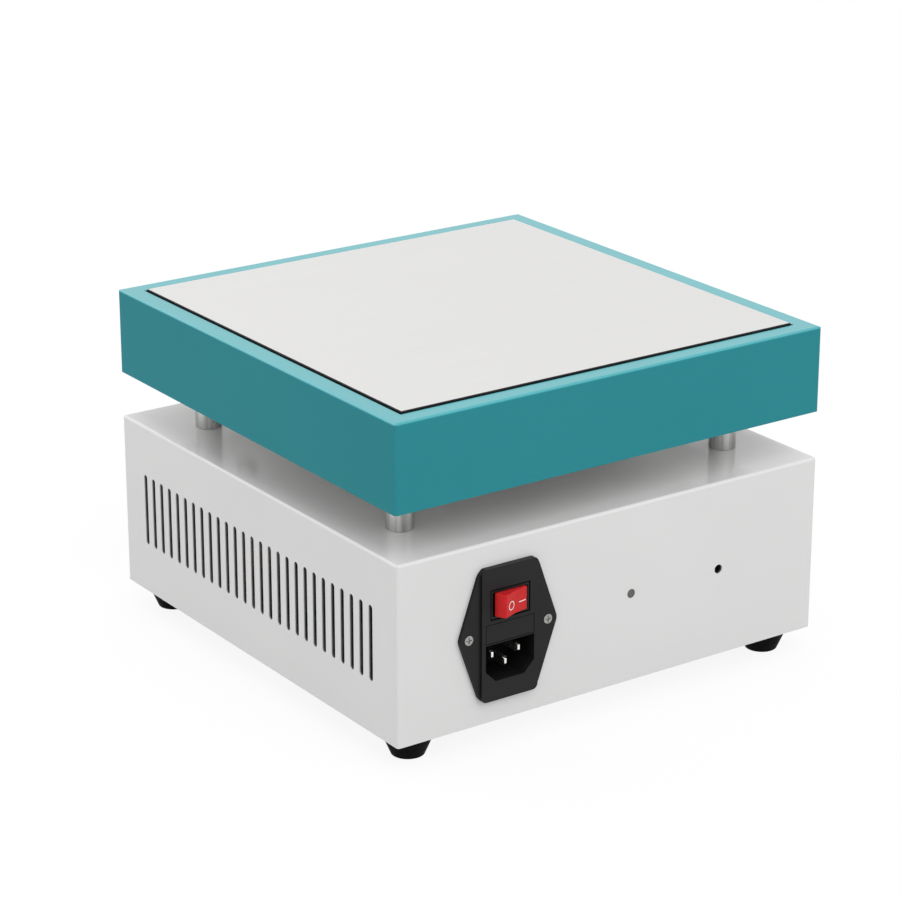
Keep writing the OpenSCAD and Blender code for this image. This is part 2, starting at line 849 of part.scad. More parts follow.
module insulation() {
    thickness = clamp_z - blanket_gap - tray_top;
    bolt_room_d = screw_head_d(bolt) + 2 * blanket_gap;
    bolt_room_h = screw_head_h(bolt) + blanket_gap;
    color("ivory") difference() {
        translate([0, 0, tray_top]) block(blanket_w, blanket_d, thickness);
        at(corners(tray_w / 2, tray_d / 2)) translate([0, 0, tray_top - over])
            block(2 * corner_clear, 2 * corner_clear, thickness + 2 * over);
        at(spacer_places) translate([0, 0, tray_top - over])
            cylinder(h = thickness + 2 * over, d = spacer_d + 2 * blanket_gap);
        at(pillar_places) translate([0, 0, tray_top - over])
            cylinder(h = bolt_room_h + over, d = bolt_room_d);
        translate([0, 0, tray_top - over]) cylinder(h = thickness + 2 * over, d = shaft_d);
    }
}

// Temperature probe, leads and conduit

module temperature_probe() {
    color("silver") translate([0, probe_y, plate_z - probe_tail])
        cylinder(h = probe_tail + probe_depth - thread_gap, d = probe_d);
}

module probe_lead() {
    color("goldenrod") lead([
        [0, probe_y, plate_z - probe_tail],
        [0, probe_y, case_top - lead_drop],
        [0, front_y / 4, case_mid],
        [0, front_y + board_sunk + 2 * lead_bend, case_mid],
        [0, front_y + board_sunk + board_t, case_mid]
    ], probe_lead_d);
}

module heater_leads() {
    color("white") for (side = [-1, 1])
        lead([
            [side * lead_x, lead_y, heater_z],
            [side * lead_x, lead_y, case_top - lead_drop],
            [terminal_x + side * pole_x, 0, case_mid],
            [terminal_x + side * pole_x, 0, base_top + pole_h]
        ], lead_d);
}

module lead_conduit() {
    reach = conduit_nut_t + conduit_end;
    conduit_l = pillar_h + case_sheet + tray_sheet + 2 * reach;
    color("lightgray") difference() {
        union() {
            translate([0, 0, case_top - case_sheet - reach]) cylinder(h = conduit_l, d = conduit_d);
            translate([0, 0, case_top]) cylinder(h = collar_t, d = collar_d);
            translate([0, 0, head_z - collar_t]) cylinder(h = collar_t, d = collar_d);
        }
        translate([0, 0, case_top - case_sheet - reach - over])
            cylinder(h = conduit_l + 2 * over, d = conduit_bore);
    }
}

module conduit_nut() {
    difference() {
        cylinder(h = conduit_nut_t, d = collar_d, $fn = 6);
        translate([0, 0, -over]) cylinder(h = conduit_nut_t + 2 * over, d = tapped(conduit_d));
    }
}

module conduit_nuts() {
    color("gray") {
        translate([0, 0, case_top - case_sheet - conduit_nut_t]) conduit_nut();
        translate([0, 0, tray_top]) conduit_nut();
    }
}

// Mains inlet

module flange_outline() {
    offset(inlet_round) offset(delta = -inlet_round) polygon([
        [-band_w / 2, inlet_h / 2],
        [band_w / 2, inlet_h / 2],
        [inlet_w / 2, 0],
        [band_w / 2, -inlet_h / 2],
        [-band_w / 2, -inlet_h / 2],
        [-inlet_w / 2, 0]
    ]);
}

module socket_outline() {
    half = socket_w / 2;
    top = socket_h / 2;
    polygon([
        [-half, top],
        [half, top],
        [half, socket_bevel - top],
        [half - socket_bevel, -top],
        [socket_bevel - half, -top],
        [-half, socket_bevel - top]
    ]);
}

module blade_slots(gap) {
    for (side = [-1, 1])
        translate([side * blade_pitch / 2, outer_blade_z])
            square([blade_t + 2 * gap, blade_h + 2 * gap], center = true);
    translate([0, earth_blade_z]) square([blade_t + 2 * gap, blade_h + 2 * gap], center = true);
}

module countersink(d, depth) {
    rotate([90, 0, 0]) {
        translate([0, 0, -over]) cylinder(h = over, d = d + 2 * depth);
        cylinder(h = depth, d1 = d + 2 * depth, d2 = d);
    }
}

module inlet_housing() {
    color("#2b2b2b") at_inlet() difference() {
        union() {
            slab_y(0, ear_t) flange_outline();
            slab_y(0, face_y) rounded_rect(band_w, inlet_h, inlet_round / 2);
            slab_y(-inlet_depth, ear_t)
                translate([-body_w / 2, body_foot]) square([body_w, body_top - body_foot]);
        }
        slab_y(-inlet_depth - over, face_y + over)
            translate([0, switch_rise]) square([switch_w, switch_h], center = true);
        slab_y(bay_back, face_y + over)
            translate([0, bay_rise]) square([bay_w, bay_h], center = true);
        slab_y(-inlet_depth - over, bay_back + over)
            translate([0, bay_rise]) contact_slots(thread_gap);
        slab_y(floor_y, face_y + over) translate([0, -socket_drop]) socket_outline();
        slab_y(-inlet_depth - over, floor_y + over) blade_slots(thread_gap);
        for (side = [-1, 1])
            translate([side * inlet_pitch / 2, 0, 0]) {
                rod_y(-over, ear_t + over, cleared(inlet_screw_d));
                translate([0, ear_t, 0]) countersink(cleared(inlet_screw_d), inlet_sink);
            }
    }
}

module inlet_screw() {
    head_d = inlet_screw_d + 2 * inlet_sink;
    cross_w = 0.65 * head_d;
    cross_depth = 0.6 * inlet_sink;
    difference() {
        union() {
            rod_y(-case_sheet - nut_h(inlet_screw_d) - screw_end, ear_t - inlet_sink / 2, inlet_screw_d);
            translate([0, ear_t, 0]) rotate([90, 0, 0])
                cylinder(h = inlet_sink, d1 = head_d, d2 = inlet_screw_d);
        }
        for (turn = [0, 90])
            translate([0, ear_t + over, 0]) rotate([90, turn, 0])
                block(cross_w, inlet_screw_d / 4, over + cross_depth);
    }
}

module inlet_screws() {
    color("silver") at_inlet() for (side = [-1, 1])
        translate([side * inlet_pitch / 2, 0, 0]) inlet_screw();
}

module inlet_nuts() {
    color("silver") at_inlet() for (side = [-1, 1])
        translate([side * inlet_pitch / 2, -case_sheet, 0]) rotate([90, 0, 0]) nut(inlet_screw_d);
}

// Side of a blade from its foot to its tapered tip, with the tip along +Y
module blade_side(w) {
    tip = blade_tip_share * w / 2;
    polygon([
        [-w / 2, -inlet_depth],
        [w / 2, -inlet_depth],
        [w / 2, blade_end - blade_taper],
        [tip, blade_end],
        [-tip, blade_end],
        [-w / 2, blade_end - blade_taper]
    ]);
}

module blade(length) {
    intersection() {
        linear_extrude(blade_h, center = true) blade_side(blade_t);
        rotate([0, 90, 0]) linear_extrude(blade_t, center = true) blade_side(blade_h);
    }
    slab_y(-inlet_depth - length, -inlet_depth + over) square([tab_t, blade_h], center = true);
}

module mains_blades() {
    color("gold") at_inlet() for (side = [-1, 1])
        translate([side * blade_pitch / 2, 0, outer_blade_z]) blade(tab_l);
}

module earth_blade() {
    color("gold") at_inlet() translate([0, 0, earth_blade_z]) blade(tab_l);
}

// Switch

module switch_body() {
    color("#1e1e1e") at_inlet() translate([0, 0, switch_rise]) difference() {
        slab_y(switch_y - switch_depth, switch_y)
            square([switch_body_w, switch_body_h], center = true);
        slab_y(switch_y - well_depth, switch_y + over) square([well_w, well_h], center = true);
        translate([0, pivot_y, 0])
            cylinder(h = switch_h, d = tapped(pivot_d), center = true);
        slab_y(switch_y - switch_depth - over, switch_y - switch_depth + tab_l / 2)
            switch_tab_outline(thread_gap);
    }
}

module switch_tab_outline(gap) {
    for (side = [-1, 1])
        translate([side * switch_w / 4, 0])
            square([tab_t + 2 * gap, blade_h + 2 * gap], center = true);
}

module switch_tabs() {
    back = switch_y - switch_depth;
    color("gold") at_inlet() translate([0, 0, switch_rise])
        slab_y(back - tab_l, back + tab_l / 2) switch_tab_outline(0);
}

// Outline of the rocker round its pivot, in its middle position, with +Y outwards
module rocker_outline() {
    wide = rocker_r + over;
    wide_rise = rocker_rise + wide * tan(rocker_dip);
    intersection() {
        circle(rocker_r);
        polygon([
            [-rocker_foot_half, -rocker_foot],
            [rocker_foot_half, -rocker_foot],
            [wide, 0],
            [wide, wide_rise],
            [0, rocker_rise],
            [-wide, wide_rise],
            [-wide, 0]
        ]);
    }
}

module rocker() {
    color("crimson") at_inlet() translate([0, pivot_y, switch_rise]) rotate(rocker_tilt) {
        linear_extrude(rocker_h, center = true) rocker_outline();
        cylinder(h = well_h + 2 * pivot_l, d = pivot_d, center = true);
    }
}

// Fuse drawer

module fuse_pocket(y) {
    floor_z = -fuse_d / 2 - fuse_gap;
    translate([0, y, floor_z]) block(pocket_l, pocket_d, drawer_h);
}

module fuse_drawer() {
    color("#262626") at_inlet() translate([0, 0, bay_rise]) difference() {
        slab_y(face_y - drawer_l, face_y) square([drawer_w, drawer_h], center = true);
        fuse_pocket(spare_y);
        fuse_pocket(fuse_y);
    }
}

module at_fuses() {
    at_inlet() for (y = [spare_y, fuse_y])
        translate([0, y, bay_rise]) children();
}

module fuse_glass() {
    color("lightblue") at_fuses() rotate([0, 90, 0])
        cylinder(h = fuse_l - 2 * cap_end, d = fuse_d - 2 * cap_wall, center = true);
}

module fuse_caps() {
    bore_d = fuse_d - 2 * cap_wall + 2 * thread_gap;
    color("silver") at_fuses() for (side = [0, 180])
        rotate([0, 90, side]) translate([0, 0, fuse_l / 2 - cap_l]) difference() {
            cylinder(h = cap_l, d = fuse_d);
            translate([0, 0, -over]) cylinder(h = cap_l - cap_end + thread_gap + over, d = bore_d);
        }
}

module contact_slots(gap) {
    for (side = [-1, 1])
        translate([side * bay_w / 4, 0])
            square([blade_h + 2 * gap, tab_t + 2 * gap], center = true);
}

module fuse_contacts() {
    color("gold") at_inlet() translate([0, 0, bay_rise])
        slab_y(-inlet_depth - tab_l, bay_back) contact_slots(0);
}

// Relay

module relay_notches() {
    notch_d = screw_head_d(medium_screw) + head_room;
    at(relay_places) {
        rod_y(rear_y - relay_depth - over, rear_y, cleared(medium_screw));
        translate([0, rear_y - case_sheet - relay_base_t - relay_depth / 2, 0])
            rotate([90, 0, 0]) cylinder(h = relay_depth, d = notch_d, center = true);
    }
}

module relay_block(y0, y1) {
    translate([relay_x, 0, case_mid]) slab_y(y0, y1) rounded_rect(relay_w, relay_h, relay_round);
}

module relay_base() {
    inside = rear_y - case_sheet;
    color("silver") difference() {
        relay_block(inside - relay_base_t, inside);
        at(relay_places) rod_y(inside - relay_base_t - over, inside + over, cleared(medium_screw));
    }
}

module relay_body() {
    inside = rear_y - case_sheet;
    color("#30343a") difference() {
        relay_block(inside - relay_depth, inside - relay_base_t);
        relay_notches();
    }
}

relay_terminal_x = 17;
relay_terminal_z = 14;

module relay_terminals() {
    front = rear_y - case_sheet - relay_depth;
    color("gold") for (sx = [-1, 1], sz = [-1, 1])
        translate([relay_x + sx * relay_terminal_x, front, case_mid + sz * relay_terminal_z])
            rod_y(-screw_head_h(medium_screw), 0, screw_head_d(medium_screw));
}

module relay_screw() {
    color("dimgray") translate(relay_places[1] + [0, rear_y - case_sheet - relay_base_t, 0])
        rotate([-90, 0, 0]) screw(medium_screw, relay_base_t + case_sheet);
}

// Control panel

module display_opening(inset) {
    translate([window_shift, 0])
        square([window_w - 2 * inset, window_h - 2 * inset], center = true);
}

module panel_plate() {
    slab_y(0, panel_t) rounded_rect(panel_w, panel_h, panel_round);
    slab_y(-skirt_depth, panel_t / 2) difference() {
        rounded_rect(skirt_w, skirt_h, panel_round / 2);
        square([skirt_w - 2 * skirt_t, skirt_h - 2 * skirt_t], center = true);
    }
    at(boss_places) rod_y(-board_sunk, panel_t / 2, boss_d);
}

module panel_frame() {
    color("#2b2b2b") at_panel() difference() {
        panel_plate();
        slab_y(panel_t - window_t, panel_t + over) display_opening(0);
        slab_y(-over, panel_t) display_opening(window_ledge);
        at(button_places) rod_y(-over, panel_t + over, button_d + 2 * button_gap);
        translate([-button_shift, 0, lamp_rise]) rod_y(-over, panel_t + over, lamp_d + 2 * lamp_gap);
        at(boss_places) rod_y(-board_sunk - over, 0, tapped(board_screw));
    }
}

module display_window() {
    color("#5a1014") at_panel()
        slab_y(panel_t - window_t, panel_t) display_opening(thread_gap);
}

module display_module() {
    color("#202020") at_panel()
        slab_y(-board_sunk, -display_gap) display_opening(window_ledge);
}

module control_board() {
    board_w = 2 * boss_x + boss_d;
    board_h = 2 * boss_z + boss_d;
    color("seagreen") at_panel() difference() {
        slab_y(-board_sunk - board_t, -board_sunk) square([board_w, board_h], center = true);
        at(boss_places) rod_y(-board_sunk - board_t - over, -board_sunk + over, cleared(board_screw));
    }
}

module board_screws() {
    color("silver") at_panel() at(boss_places)
        translate([0, -board_sunk - board_t, 0]) rotate([-90, 0, 0])
            screw(board_screw, board_t + board_screw_bite);
}

module tact_switches() {
    color("#404040") at_panel() at(button_places) difference() {
        slab_y(-board_sunk, tact_h - board_sunk) square(tact_w, center = true);
        rod_y(tact_floor - board_sunk, tact_h - board_sunk + over, stem_d + 2 * button_gap);
    }
}

module indicator_lamp() {
    color("tomato") at_panel() translate([-button_shift, 0, lamp_rise]) {
        rod_y(-board_sunk, 0, lamp_d + 2 * lamp_rim);
        rod_y(-over, panel_t, lamp_d);
    }
}

// A push button: its cap, the flange that keeps it behind the panel, and its stem
module button(i) {
    shoulder = panel_t + button_proud - button_edge;
    at_panel() translate(button_places[i]) rotate([-90, 0, 0]) {
        translate([0, 0, -flange_t]) cylinder(h = flange_t, d = button_d + 2 * flange_reach);
        translate([0, 0, -flange_t]) cylinder(h = flange_t + shoulder, d = button_d);
        translate([0, 0, shoulder])
            cylinder(h = button_edge, d1 = button_d, d2 = button_d - 2 * button_edge);
        translate([0, 0, -flange_t - stem_l]) cylinder(h = stem_l + flange_t, d = stem_d);
    }
}

module button_set() {
    color("firebrick") button(0);
}

module button_down() {
    color("gainsboro") button(1);
}

module button_up() {
    color("gainsboro") button(2);
}

// Power supply and wiring

supply_z = base_top + supply_lift;
supply_top = supply_z + board_t;

module supply_board() {
    color("seagreen") difference() {
        translate([supply_x, supply_y, supply_z]) block(supply_w, supply_d, board_t);
        at(supply_places) translate([0, 0, supply_z - over])
            cylinder(h = board_t + 2 * over, d = cleared(small_screw));
    }
}

module supply_spacers() {
    color("silver") at(supply_places)
        translate([0, 0, base_top]) washer(supply_lift, supply_spacer_d, cleared(small_screw));
}

module supply_screws() {
    grip = base_sheet + supply_lift + board_t;
    color("silver") at(supply_places) {
        translate([0, 0, case_z]) screw(small_screw, grip + nut_h(small_screw));
        translate([0, 0, supply_top]) nut(small_screw);
    }
}

module at_transformer() {
    translate([supply_x + supply_w / 4, supply_y, supply_top]) children();
}

// A laminated core with a window at each side of its middle limb
module transformer_core() {
    limb = core_d / 5;
    color("slategray") at_transformer() difference() {
        block(core_w, core_d, core_h);
        for (side = [-1, 1])
            translate([0, side * limb, limb]) block(core_w + 2 * over, limb, core_h - 2 * limb);
    }
}

module transformer_coil() {
    limb = core_d / 5;
    slack = 0.2;
    color("peru") at_transformer() difference() {
        translate([0, 0, limb + slack])
            block(core_w + 2 * coil_over, 3 * limb - 2 * slack, core_h - 2 * (limb + slack));
        block(core_w + 2 * slack, limb + 2 * slack, core_h);
    }
}

module capacitor() {
    can_d = 12;
    can_h = 22;
    color("midnightblue") translate([supply_x - supply_w / 5, supply_y, supply_top])
        cylinder(h = can_h, d = can_d);
}

module terminal_block() {
    bore = lead_d + 2 * lead_room;
    color("white") translate([terminal_x, 0, base_top]) difference() {
        block(terminal_w, pole_room, pole_h);
        for (side = [-1, 1])
            translate([side * pole_x, pole_room / 4, pole_h / 2])
                rod_y(0, pole_room / 4 + over, bore);
    }
}

earth_shift = 4;
earth_place = [inlet_x + earth_shift, rear_y / 2, 0];
lug_ring_t = 1;

module earth_stud() {
    grip = base_sheet + lug_ring_t;
    color("gold") at([earth_place]) {
        translate([0, 0, case_z]) screw(medium_screw, grip + nut_h(medium_screw) + screw_end);
        translate([0, 0, base_top]) washer(lug_ring_t, screw_head_d(medium_screw), tapped(medium_screw));
        translate([0, 0, base_top + lug_ring_t]) nut(medium_screw);
    }
}

module mains_leads() {
    tab_end = rear_y - inlet_depth - tab_l;
    switch_end = rear_y + switch_y - switch_depth - tab_l;
    relay_end = rear_y - case_sheet - relay_depth - screw_head_h(medium_screw);
    live_z = case_mid + switch_rise;
    relay_z = case_mid + relay_terminal_z;
    pole_z = base_top + pole_h / 2;
    earth_z = base_top + lug_ring_t / 2 + lead_rest;
    color("saddlebrown") {
        lead([
            [inlet_x - switch_w / 4, switch_end, live_z],
            [inlet_x - switch_w / 4, switch_end - lead_bend, live_z],
            [(inlet_x + relay_x) / 2, relay_end - lead_bend, live_z],
            [relay_x + relay_terminal_x, relay_end - lead_bend, relay_z],
            [relay_x + relay_terminal_x, relay_end, relay_z]
        ], lead_d);
        lead([
            [inlet_x - blade_pitch / 2, tab_end, case_mid + outer_blade_z],
            [inlet_x - blade_pitch / 2, tab_end - lead_bend, case_mid + outer_blade_z],
            [terminal_x + pole_x, pole_room + lead_bend, pole_z],
            [terminal_x + pole_x, pole_room / 4, pole_z]
        ], lead_d);
        lead([
            [relay_x - relay_terminal_x, relay_end, relay_z],
            [relay_x - relay_terminal_x, relay_end - lead_bend, relay_z],
            [terminal_x - pole_x, pole_room + lead_bend, pole_z],
            [terminal_x - pole_x, pole_room / 4, pole_z]
        ], lead_d);
        lead([
            [inlet_x, tab_end, case_mid + earth_blade_z],
            [inlet_x, tab_end - lead_bend / 2, case_mid + earth_blade_z],
            earth_place + [0, lead_bend, earth_z],
            earth_place + [0, screw_head_d(medium_screw) / 2 + lead_rest, earth_z]
        ], lug_ring_t);
    }
}

module panel_lead() {
    board_back = front_y + board_sunk + board_t;
    color("gray") lead([
        [button_shift, board_back, case_mid - boss_z / 2],
        [button_shift, board_back + lead_bend, case_mid - boss_z / 2],
        [supply_x - supply_w / 3, supply_y - supply_d / 3, supply_top + lead_bend],
        [supply_x - supply_w / 3, supply_y - supply_d / 3, supply_top]
    ], probe_lead_d);
}

case_shell();
bottom_plate();
base_screws();
feet();
foot_screws();
foot_nuts();
pillars();
pillar_bolts();
head_cover();
head_tray();
tray_screws();
heating_plate();
heater_sheet();
clamp_plate();
plate_spacers();
plate_screws();
insulation();
temperature_probe();
probe_lead();
heater_leads();
lead_conduit();
conduit_nuts();
inlet_housing();
inlet_screws();
inlet_nuts();
mains_blades();
earth_blade();
switch_body();
switch_tabs();
rocker();
fuse_drawer();
fuse_glass();
fuse_caps();
fuse_contacts();
relay_body();
relay_base();
relay_terminals();
relay_screw();
panel_frame();
display_window();
display_module();
control_board();
board_screws();
tact_switches();
indicator_lamp();
button_set();
button_down();
button_up();
supply_board();
supply_spacers();
supply_screws();
transformer_core();
transformer_coil();
capacitor();
terminal_block();
earth_stud();
mains_leads();
panel_lead();
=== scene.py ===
"""Looks of a bench hot plate for circuit boards: its finishes, switch marks, display and studio."""
import json
import math

import bmesh
import bpy
from mathutils import Matrix, Vector


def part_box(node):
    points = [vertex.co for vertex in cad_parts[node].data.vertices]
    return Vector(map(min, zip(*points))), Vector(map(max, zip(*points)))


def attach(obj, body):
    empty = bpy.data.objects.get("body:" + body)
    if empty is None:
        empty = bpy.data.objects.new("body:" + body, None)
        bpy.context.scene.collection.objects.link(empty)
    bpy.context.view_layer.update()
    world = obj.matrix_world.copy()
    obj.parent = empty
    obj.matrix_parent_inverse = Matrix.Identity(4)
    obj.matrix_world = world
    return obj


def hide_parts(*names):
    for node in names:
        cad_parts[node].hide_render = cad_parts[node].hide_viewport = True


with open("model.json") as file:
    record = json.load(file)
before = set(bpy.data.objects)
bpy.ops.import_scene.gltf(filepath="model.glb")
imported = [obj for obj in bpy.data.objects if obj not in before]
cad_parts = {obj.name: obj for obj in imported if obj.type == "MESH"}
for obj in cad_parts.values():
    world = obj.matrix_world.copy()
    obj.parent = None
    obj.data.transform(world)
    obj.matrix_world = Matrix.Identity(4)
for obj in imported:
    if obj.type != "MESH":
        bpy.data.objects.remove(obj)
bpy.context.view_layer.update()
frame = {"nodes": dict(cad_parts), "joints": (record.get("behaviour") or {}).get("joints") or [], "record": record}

MM = 0.001

# Camera of the photograph: azimuth 0 looks along +Y, and the angles are in degrees
CAMERA_AZIMUTH = 145.07
CAMERA_ELEVATION = 19.956
CAMERA_DISTANCE = 1.3439
CAMERA_LENS_MM = 120.83
CAMERA_SENSOR_MM = 36.0
CAMERA_TARGET = Vector((4.695, -3.279, 84.35)) * MM

# Depth from a painted shell's outer faces at which its painted shade starts on cut edges and inside, and the width
# of their folds
SHADE_DEPTH = 0.34 * MM
FOLD_WIDTH = 1.5 * MM

# Mains rocker: tilt at rest, dip of each half, rise of its ridge over the pivot, half height between pins
ROCKER_TILT = math.radians(16)
ROCKER_DIP = math.radians(5.5)
ROCKER_RISE = 3.7 * MM
ROCKER_HALF_HEIGHT = 5.1 * MM

# Printed marks: thickness, stroke, the rocker's ring and bar, and their places from its ridge and middle
MARK_THICKNESS = 0.01 * MM
MARK_STROKE = 0.44 * MM
RING_R = 2.0 * MM
RING_ALONG = 3.0 * MM
BAR_LENGTH = 4.0 * MM
BAR_ALONG = 4.0 * MM
MARK_DROP = 0.6 * MM

# Rubber feet, whose flanks spread wider than those of the CAD solids
FOOT_TIP_R = 7.25 * MM
FOOT_ROUNDING = 0.6 * MM
FOOT_SPREAD = math.radians(23)
FOOT_RECESS_R = 4.3 * MM
FOOT_RECESS_DEPTH = 5.0 * MM
FOOT_BORE_R = 2.2 * MM
FOOT_SIDES = 72

# Marks on the control panel
DIGITS = 4
DIGIT_HEIGHT = 11 * MM
DIGIT_WIDTH = 6.4 * MM
DIGIT_PITCH = 10.4 * MM
DIGIT_STROKE = 1.2 * MM
DIGIT_SLANT = math.radians(8)
SEGMENT_GAP = 0.6 * MM
SYMBOL_SIZE = 3.2 * MM

# Studio: floor size, the grey it bounces and shows, the share of shade that is seen, and the fill light
FLOOR_SIZE = 12.0
FLOOR_BOUNCE = 0.43
FLOOR_SEEN = 0.93
SHADOW_SHARE = 0.1
FILL_HORIZON = 1.34
FILL_ZENITH = 0.55


def direction(azimuth, elevation):
    """Unit vector from the object towards a viewer or a lamp."""
    a = math.radians(azimuth)
    e = math.radians(elevation)
    return Vector((math.sin(a) * math.cos(e), -math.cos(a) * math.cos(e), math.sin(e)))


# Colour sockets of the Mix node, which has others of the same names
MIX_A = 6
MIX_B = 7
MIX_RESULT = 2


class Finish:
    """A node material in the making, with short calls for the nodes that the finishes below use."""

    def __init__(self, name, **sockets):
        self.material = bpy.data.materials.new(name)
        self.material.use_nodes = True
        self.tree = self.material.node_tree
        self.shader = self.tree.nodes["Principled BSDF"]
        for label, value in sockets.items():
            self.shader.inputs[label.replace("_", " ")].default_value = value
        self.coordinates = self.node("ShaderNodeTexCoord").outputs["Object"]

    def node(self, kind, **settings):
        made = self.tree.nodes.new(kind)
        for label, value in settings.items():
            setattr(made, label, value)
        return made

    def feed(self, socket, value):
        """Links a socket, or sets a plain value on it."""
        if isinstance(value, bpy.types.NodeSocket):
            self.tree.links.new(value, socket)
        else:
            socket.default_value = value

    def drive(self, label, value):
        self.feed(self.shader.inputs[label], value)

    def maths(self, operation, a, b=0.0):
        made = self.node("ShaderNodeMath", operation=operation)
        self.feed(made.inputs[0], a)
        self.feed(made.inputs[1], b)
        return made.outputs[0]

    def noise(self, size, detail=2.0, stretch=(1, 1, 1)):
        """Soft noise with features of about this size in metres, drawn out along the stretched axes."""
        place = self.node("ShaderNodeMapping")
        self.feed(place.inputs["Vector"], self.coordinates)
        place.inputs["Scale"].default_value = [1 / (size * s) for s in stretch]
        made = self.node("ShaderNodeTexNoise")
        self.feed(made.inputs["Vector"], place.outputs[0])
        made.inputs["Scale"].default_value = 1.0
        made.inputs["Detail"].default_value = detail
        return made.outputs["Fac"]

    def spread(self, value, low, high, start=0.3, stop=0.7):
        """The value's range from start to stop, spread over low to high."""
        made = self.node("ShaderNodeMapRange")
        self.feed(made.inputs["Value"], value)
        made.inputs["From Min"].default_value = start
        made.inputs["From Max"].default_value = stop
        made.inputs["To Min"].default_value = low
        made.inputs["To Max"].default_value = high
        return made.outputs[0]

    def blend(self, share, a, b):
        """One colour to the other by a share from 0 to 1."""
        made = self.node("ShaderNodeMix", data_type="RGBA")
        self.feed(made.inputs["Factor"], share)
        self.feed(made.inputs[MIX_A], a if isinstance(a, bpy.types.NodeSocket) else (*a, 1))
        self.feed(made.inputs[MIX_B], b if isinstance(b, bpy.types.NodeSocket) else (*b, 1))
        return made.outputs[MIX_RESULT]

    def shades(self, colour, spread, size, detail=2.0, stretch=(1, 1, 1)):
        """The colour, a little darker and lighter from place to place."""
        darker = [c * (1 - spread) for c in colour]
        lighter = [min(1.0, c * (1 + spread)) for c in colour]
        share = self.spread(self.noise(size, detail, stretch), 0.0, 1.0)
        return self.blend(share, darker, lighter)

    def bump(self, height, depth):
        """Relief of this depth in metres, from a height between 0 and 1."""
        made = self.node("ShaderNodeBump")
        made.inputs["Distance"].default_value = depth
        self.feed(made.inputs["Height"], height)
        self.drive("Normal", made.outputs[0])

    def axis(self, label):
        split = self.node("ShaderNodeSeparateXYZ")
        self.feed(split.inputs[0], self.coordinates)
        return split.outputs[label]

    def facing_up(self, least):
        """1 where the upright share of the face's normal is more than this, otherwise 0."""
        split = self.node("ShaderNodeSeparateXYZ")
        self.feed(split.inputs[0], self.node("ShaderNodeNewGeometry").outputs["Normal"])
        return self.maths("GREATER_THAN", self.maths("ABSOLUTE", split.outputs["Z"]), least)

    def painted_shade_mask(self, node):
        """1 on the cut edges and the inside of a shell that fills its box up to the top, where a darker colour is
        painted as shade, otherwise 0.
        """
        low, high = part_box(node)
        half = (high - low) / 2
        middle = (high + low) / 2
        depths = []
        for label, reach, centre in (("X", half.x, middle.x), ("Y", half.y, middle.y)):
            off = self.maths("ABSOLUTE", self.maths("SUBTRACT", self.axis(label), centre))
            depths.append(self.maths("SUBTRACT", reach, off))
        depths.append(self.maths("SUBTRACT", high.z, self.axis("Z")))
        lesser = self.maths("MINIMUM", depths[0], depths[1])
        greater = self.maths("MAXIMUM", depths[0], depths[1])
        nearest = self.maths("MINIMUM", lesser, depths[2])
        second = self.maths("MAXIMUM", lesser, self.maths("MINIMUM", greater, depths[2]))
        deep = self.maths("GREATER_THAN", nearest, SHADE_DEPTH)
        return self.maths("MULTIPLY", deep, self.maths("GREATER_THAN", second, FOLD_WIDTH))


# Finishes

def powder_coat(name, colour, inside, node, roughness, specular):
    """Baked powder paint with a fine orange peel, in the making; the cut edges and the inside take a darker
    colour, partly bare sheet and partly painted shade for slots and holes.
    """
    made = Finish(name, Specular_IOR_Level=specular)
    peel = made.noise(0.9 * MM, detail=1.0)
    painted = made.shades(colour, 0.012, 60 * MM)
    # Darker colour of the cut edges and the inside: painted shade in slots and holes
    inner_shade = made.shades(inside, 0.15, 4 * MM)
    made.drive("Base Color", made.blend(made.painted_shade_mask(node), painted, inner_shade))
    made.drive("Roughness", made.spread(made.noise(25 * MM), roughness - 0.02, roughness + 0.02))
    made.bump(peel, 0.012 * MM)
    return made


def case_paint():
    # The second colour, on cut edges and inside, is a painted shade for what shows through slots and holes
    made = powder_coat("white powder coat", (0.74, 0.74, 0.736), (0.15, 0.15, 0.152), "case_shell",
                       roughness=0.1, specular=0.5)
    return made.material


# Gloss of the teal paint on the sides of the head and on its rim
SIDE_SPECULAR = 0.03
RIM_SPECULAR = 0.5


def head_paint():
    """Teal paint, glossier on the rim round the hot plate, and paler on its level faces as a painted light."""
    # The second colour, on cut edges and inside, is a painted shade for the gap round the plate
    made = powder_coat("teal powder coat", (0.031, 0.252, 0.29), (0.02, 0.024, 0.025), "head_cover",
                       roughness=0.2, specular=SIDE_SPECULAR)
    rim = made.facing_up(0.5)
    side_colour = made.shader.inputs["Base Color"].links[0].from_socket
    # Paler colour on level faces: painted light, for the brighter lit rim
    made.drive("Base Color", made.blend(rim, side_colour, made.shades((0.065, 0.39, 0.43), 0.02, 40 * MM)))
    made.drive("Specular IOR Level", made.spread(rim, SIDE_SPECULAR, RIM_SPECULAR, 0.0, 1.0))
    return made.material


def plate_metal():
    """Ground aluminium on the flat faces, and near-black side faces all round, a painted shade for the dark gap
    round the plate.
    """
    made = Finish("ground aluminium", Metallic=0.6)
    lines = made.noise(0.25 * MM, detail=3.0, stretch=(400, 1, 1))
    ground = made.shades((0.685, 0.681, 0.673), 0.03, 0.3 * MM, detail=3.0, stretch=(300, 1, 1))
    # Near-black side faces: painted shade for the dark gap round the plate
    gap_shade = made.shades((0.02, 0.021, 0.023), 0.3, 3 * MM)
    made.drive("Base Color", made.blend(made.facing_up(0.9), gap_shade, ground))
    made.drive("Roughness", made.spread(lines, 0.44, 0.52))
    made.bump(lines, 0.002 * MM)
    return made.material


